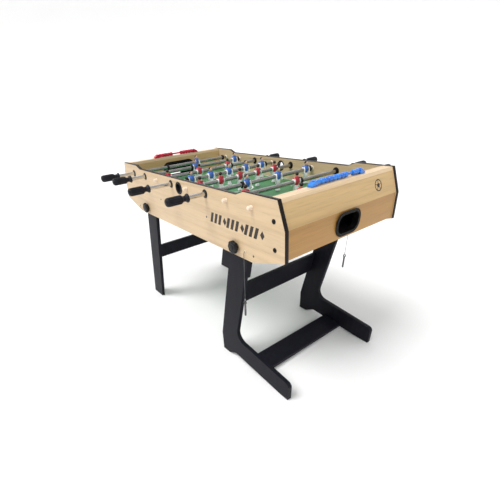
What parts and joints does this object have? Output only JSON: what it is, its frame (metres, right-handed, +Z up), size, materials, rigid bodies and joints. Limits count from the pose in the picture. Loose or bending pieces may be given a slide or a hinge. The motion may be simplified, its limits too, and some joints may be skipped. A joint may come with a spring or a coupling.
{
  "type": "folding foosball table",
  "caption": "Folding foosball table: wooden cabinet with a green field, sliding and turning player rods, ball return cups, bead scorers and two folding leg frames.",
  "frame": {"origin": "on the floor, at the middle of the table's footprint (handles and feet included, lanyards left out)", "axes": "+Z up; +X along the cabinet towards the end with the long L feet; +Y across, towards the red team's handles"},
  "size_m": [1.2726, 1, 0.8097],
  "materials": {
    "side_wood": "light wood-grain foil, satin",
    "end_wood": "honey wood-grain foil, satin",
    "field": "printed green board, satin",
    "black_board": "black laminated board, satin",
    "black_plastic": "moulded, satin",
    "blue_plastic": "moulded, glossy",
    "red_plastic": "moulded, glossy",
    "blue_players": "painted figures on a chromed tube",
    "red_players": "painted figures on a chromed tube",
    "chrome": "polished",
    "steel": "zinc plated"
  },
  "bodies": {
    "cabinet": {"near_side_panel": "side_wood", "far_side_panel": "side_wood", "left_top_rail": "end_wood", "right_top_rail": "end_wood", "left_upper_end_board": "end_wood", "right_upper_end_board": "end_wood", "left_lower_end_board": "end_wood", "right_lower_end_board": "end_wood", "left_goal_wall": "end_wood", "right_goal_wall": "end_wood", "playfield": "field", "left_ball_return_cup": "black_plastic", "right_ball_return_cup": "black_plastic", "near_ball_entry_ring": "black_plastic", "far_ball_entry_ring": "black_plastic", "blue_scorer_rail": "blue_plastic", "red_scorer_rail": "red_plastic", "near_lanyard_wire": "steel", "far_lanyard_wire": "steel", "near_lock_pin": "steel", "far_lock_pin": "steel"},
    "l_leg_frame": {"near_l_leg": "black_board", "far_l_leg": "black_board", "l_frame_upper_stretcher": "black_board", "l_frame_lower_stretcher": "black_board"},
    "straight_leg_frame": {"near_straight_leg": "black_board", "far_straight_leg": "black_board", "straight_frame_stretcher": "black_board"},
    "near_left_knob": {"near_left_knob": "black_plastic"},
    "near_right_knob": {"near_right_knob": "black_plastic"},
    "far_left_knob": {"far_left_knob": "black_plastic"},
    "far_right_knob": {"far_right_knob": "black_plastic"},
    "blue_scorer_near_beads": {"blue_scorer_near_beads": "blue_plastic"},
    "blue_scorer_far_beads": {"blue_scorer_far_beads": "blue_plastic"},
    "red_scorer_near_beads": {"red_scorer_near_beads": "red_plastic"},
    "red_scorer_far_beads": {"red_scorer_far_beads": "red_plastic"},
    "rod_1_shaft": {"rod_1_shaft": "chrome"},
    "rod_1_tube": {"rod_1_tube_with_players": "blue_players", "rod_1_handle": "black_plastic"},
    "rod_2_shaft": {"rod_2_shaft": "chrome"},
    "rod_2_tube": {"rod_2_tube_with_players": "blue_players", "rod_2_handle": "black_plastic"},
    "rod_3_shaft": {"rod_3_shaft": "chrome"},
    "rod_3_tube": {"rod_3_tube_with_players": "red_players", "rod_3_handle": "black_plastic"},
    "rod_4_shaft": {"rod_4_shaft": "chrome"},
    "rod_4_tube": {"rod_4_tube_with_players": "blue_players", "rod_4_handle": "black_plastic"},
    "rod_5_shaft": {"rod_5_shaft": "chrome"},
    "rod_5_tube": {"rod_5_tube_with_players": "red_players", "rod_5_handle": "black_plastic"},
    "rod_6_shaft": {"rod_6_shaft": "chrome"},
    "rod_6_tube": {"rod_6_tube_with_players": "blue_players", "rod_6_handle": "black_plastic"},
    "rod_7_shaft": {"rod_7_shaft": "chrome"},
    "rod_7_tube": {"rod_7_tube_with_players": "red_players", "rod_7_handle": "black_plastic"},
    "rod_8_shaft": {"rod_8_shaft": "chrome"},
    "rod_8_tube": {"rod_8_tube_with_players": "red_players", "rod_8_handle": "black_plastic"}
  },
  "joints": [
    {"name": "l_frame_fold", "type": "hinge", "parent": "cabinet", "child": "l_leg_frame", "pos_m": [0.35325, 0, 0.593], "axis": [0, -1, 0], "range_deg": [0, 90]},
    {"name": "straight_frame_fold", "type": "hinge", "parent": "cabinet", "child": "straight_leg_frame", "pos_m": [-0.39075, 0, 0.593], "axis": [0, -1, 0], "range_deg": [0, 103.6]},
    {"name": "near_left_knob_turn", "type": "hinge", "parent": "cabinet", "child": "near_left_knob", "pos_m": [-0.39075, 0, 0.593], "axis": [0, -1, 0], "continuous": true},
    {"name": "near_right_knob_turn", "type": "hinge", "parent": "cabinet", "child": "near_right_knob", "pos_m": [0.35325, 0, 0.593], "axis": [0, -1, 0], "continuous": true},
    {"name": "far_left_knob_turn", "type": "hinge", "parent": "cabinet", "child": "far_left_knob", "pos_m": [-0.39075, 0, 0.593], "axis": [0, 1, 0], "continuous": true},
    {"name": "far_right_knob_turn", "type": "hinge", "parent": "cabinet", "child": "far_right_knob", "pos_m": [0.35325, 0, 0.593], "axis": [0, 1, 0], "continuous": true},
    {"name": "blue_scorer_near_beads_slide", "type": "slide", "parent": "cabinet", "child": "blue_scorer_near_beads", "axis": [0, 1, 0], "range_m": [0, 0.0132]},
    {"name": "blue_scorer_far_beads_slide", "type": "slide", "parent": "cabinet", "child": "blue_scorer_far_beads", "axis": [0, -1, 0], "range_m": [0, 0.0132]},
    {"name": "red_scorer_near_beads_slide", "type": "slide", "parent": "cabinet", "child": "red_scorer_near_beads", "axis": [0, 1, 0], "range_m": [0, 0.0244]},
    {"name": "red_scorer_far_beads_slide", "type": "slide", "parent": "cabinet", "child": "red_scorer_far_beads", "axis": [0, -1, 0], "range_m": [0, 0.0244]},
    {"name": "rod_1_spin", "type": "hinge", "parent": "cabinet", "child": "rod_1_shaft", "pos_m": [-0.48225, 0, 0.75], "axis": [0, 1, 0], "continuous": true},
    {"name": "rod_1_slide", "type": "slide", "parent": "rod_1_shaft", "child": "rod_1_tube", "axis": [0, -1, 0], "range_m": [-0.017, 0.173]},
    {"name": "rod_2_spin", "type": "hinge", "parent": "cabinet", "child": "rod_2_shaft", "pos_m": [-0.34982, 0, 0.75], "axis": [0, 1, 0], "continuous": true},
    {"name": "rod_2_slide", "type": "slide", "parent": "rod_2_shaft", "child": "rod_2_tube", "axis": [0, -1, 0], "range_m": [-0.007, 0.2459]},
    {"name": "rod_3_spin", "type": "hinge", "parent": "cabinet", "child": "rod_3_shaft", "pos_m": [-0.21739, 0, 0.75], "axis": [0, 1, 0], "continuous": true},
    {"name": "rod_3_slide", "type": "slide", "parent": "rod_3_shaft", "child": "rod_3_tube", "axis": [0, 1, 0], "range_m": [-0.01, 0.1554]},
    {"name": "rod_4_spin", "type": "hinge", "parent": "cabinet", "child": "rod_4_shaft", "pos_m": [-0.08496, 0, 0.75], "axis": [0, 1, 0], "continuous": true},
    {"name": "rod_4_slide", "type": "slide", "parent": "rod_4_shaft", "child": "rod_4_tube", "axis": [0, -1, 0], "range_m": [-0.038, 0.0574]},
    {"name": "rod_5_spin", "type": "hinge", "parent": "cabinet", "child": "rod_5_shaft", "pos_m": [0.04746, 0, 0.75], "axis": [0, 1, 0], "continuous": true},
    {"name": "rod_5_slide", "type": "slide", "parent": "rod_5_shaft", "child": "rod_5_tube", "axis": [0, 1, 0], "range_m": [-0.017, 0.0784]},
    {"name": "rod_6_spin", "type": "hinge", "parent": "cabinet", "child": "rod_6_shaft", "pos_m": [0.17989, 0, 0.75], "axis": [0, 1, 0], "continuous": true},
    {"name": "rod_6_slide", "type": "slide", "parent": "rod_6_shaft", "child": "rod_6_tube", "axis": [0, -1, 0], "range_m": [-0.009, 0.1564]},
    {"name": "rod_7_spin", "type": "hinge", "parent": "cabinet", "child": "rod_7_shaft", "pos_m": [0.31232, 0, 0.75], "axis": [0, 1, 0], "continuous": true},
    {"name": "rod_7_slide", "type": "slide", "parent": "rod_7_shaft", "child": "rod_7_tube", "axis": [0, 1, 0], "range_m": [-0.038, 0.2149]},
    {"name": "rod_8_spin", "type": "hinge", "parent": "cabinet", "child": "rod_8_shaft", "pos_m": [0.44475, 0, 0.75], "axis": [0, 1, 0], "continuous": true},
    {"name": "rod_8_slide", "type": "slide", "parent": "rod_8_shaft", "child": "rod_8_tube", "axis": [0, 1, 0], "range_m": [-0.015, 0.175]}
  ]
}
